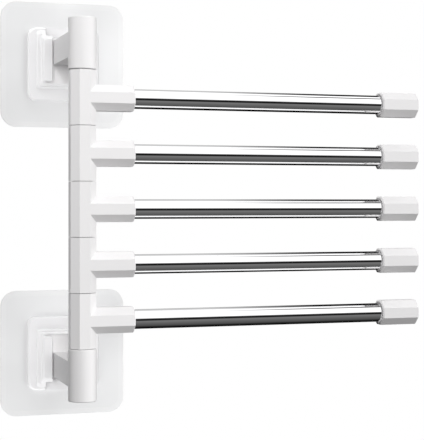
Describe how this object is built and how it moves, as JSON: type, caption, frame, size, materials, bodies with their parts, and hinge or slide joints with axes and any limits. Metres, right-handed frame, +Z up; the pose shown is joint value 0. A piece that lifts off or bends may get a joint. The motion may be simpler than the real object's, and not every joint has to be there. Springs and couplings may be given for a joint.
{
  "type": "swing arm towel bar",
  "caption": "Wall-mounted towel rail whose chromed arms swing on one upright shaft between two self-adhesive brackets, with white octagonal hubs and end caps.",
  "frame": {"origin": "on the wall, midway between the centres of the two wall plates and in line with the shaft", "axes": "+X along the arms at rest, +Y into the wall, +Z up along the shaft"},
  "size_m": [0.2599, 0.0702, 0.2648],
  "materials": {
    "white_abs": "white moulded ABS, satin, with fine moulding texture",
    "plate_sheet": "cool white moulded sheet, satin",
    "adhesive_foam": "pale grey acrylic foam tape, matte",
    "chromed_tube": "bright chromed steel tube, mirror polish",
    "shaft_steel": "turned steel, bare",
    "spacer_nylon": "natural grey nylon, matte"
  },
  "bodies": {
    "root": {"upper_adhesive_pad": "adhesive_foam", "upper_wall_plate": "plate_sheet", "upper_slide_base": "white_abs", "upper_bracket": "white_abs", "upper_end_plug": "white_abs", "lower_adhesive_pad": "adhesive_foam", "lower_wall_plate": "plate_sheet", "lower_slide_base": "white_abs", "lower_bracket": "white_abs", "lower_end_plug": "white_abs", "pivot_shaft": "shaft_steel", "shaft_washers": "shaft_steel", "shaft_nuts": "shaft_steel", "spacer_washer_1": "spacer_nylon", "spacer_washer_2": "spacer_nylon", "spacer_washer_3": "spacer_nylon", "spacer_washer_4": "spacer_nylon", "spacer_washer_5": "spacer_nylon", "spacer_washer_6": "spacer_nylon"},
    "arm_1": {"arm_1_hub": "white_abs", "arm_1_tube": "chromed_tube", "arm_1_end_cap": "white_abs"},
    "arm_2": {"arm_2_hub": "white_abs", "arm_2_tube": "chromed_tube", "arm_2_end_cap": "white_abs"},
    "arm_3": {"arm_3_hub": "white_abs", "arm_3_tube": "chromed_tube", "arm_3_end_cap": "white_abs"},
    "arm_4": {"arm_4_hub": "white_abs", "arm_4_tube": "chromed_tube", "arm_4_end_cap": "white_abs"},
    "arm_5": {"arm_5_hub": "white_abs", "arm_5_tube": "chromed_tube", "arm_5_end_cap": "white_abs"}
  },
  "joints": [
    {"name": "arm_1_swing", "type": "hinge", "parent": "root", "child": "arm_1", "pos_m": [0, -0.0616, 0.067], "axis": [0, 0, -1], "range_deg": [0, 180]},
    {"name": "arm_2_swing", "type": "hinge", "parent": "root", "child": "arm_2", "pos_m": [0, -0.0616, 0.0335], "axis": [0, 0, -1], "range_deg": [0, 180]},
    {"name": "arm_3_swing", "type": "hinge", "parent": "root", "child": "arm_3", "pos_m": [0, -0.0616, 0], "axis": [0, 0, -1], "range_deg": [0, 180]},
    {"name": "arm_4_swing", "type": "hinge", "parent": "root", "child": "arm_4", "pos_m": [0, -0.0616, -0.0335], "axis": [0, 0, -1], "range_deg": [0, 180]},
    {"name": "arm_5_swing", "type": "hinge", "parent": "root", "child": "arm_5", "pos_m": [0, -0.0616, -0.067], "axis": [0, 0, -1], "range_deg": [0, 180]}
  ]
}
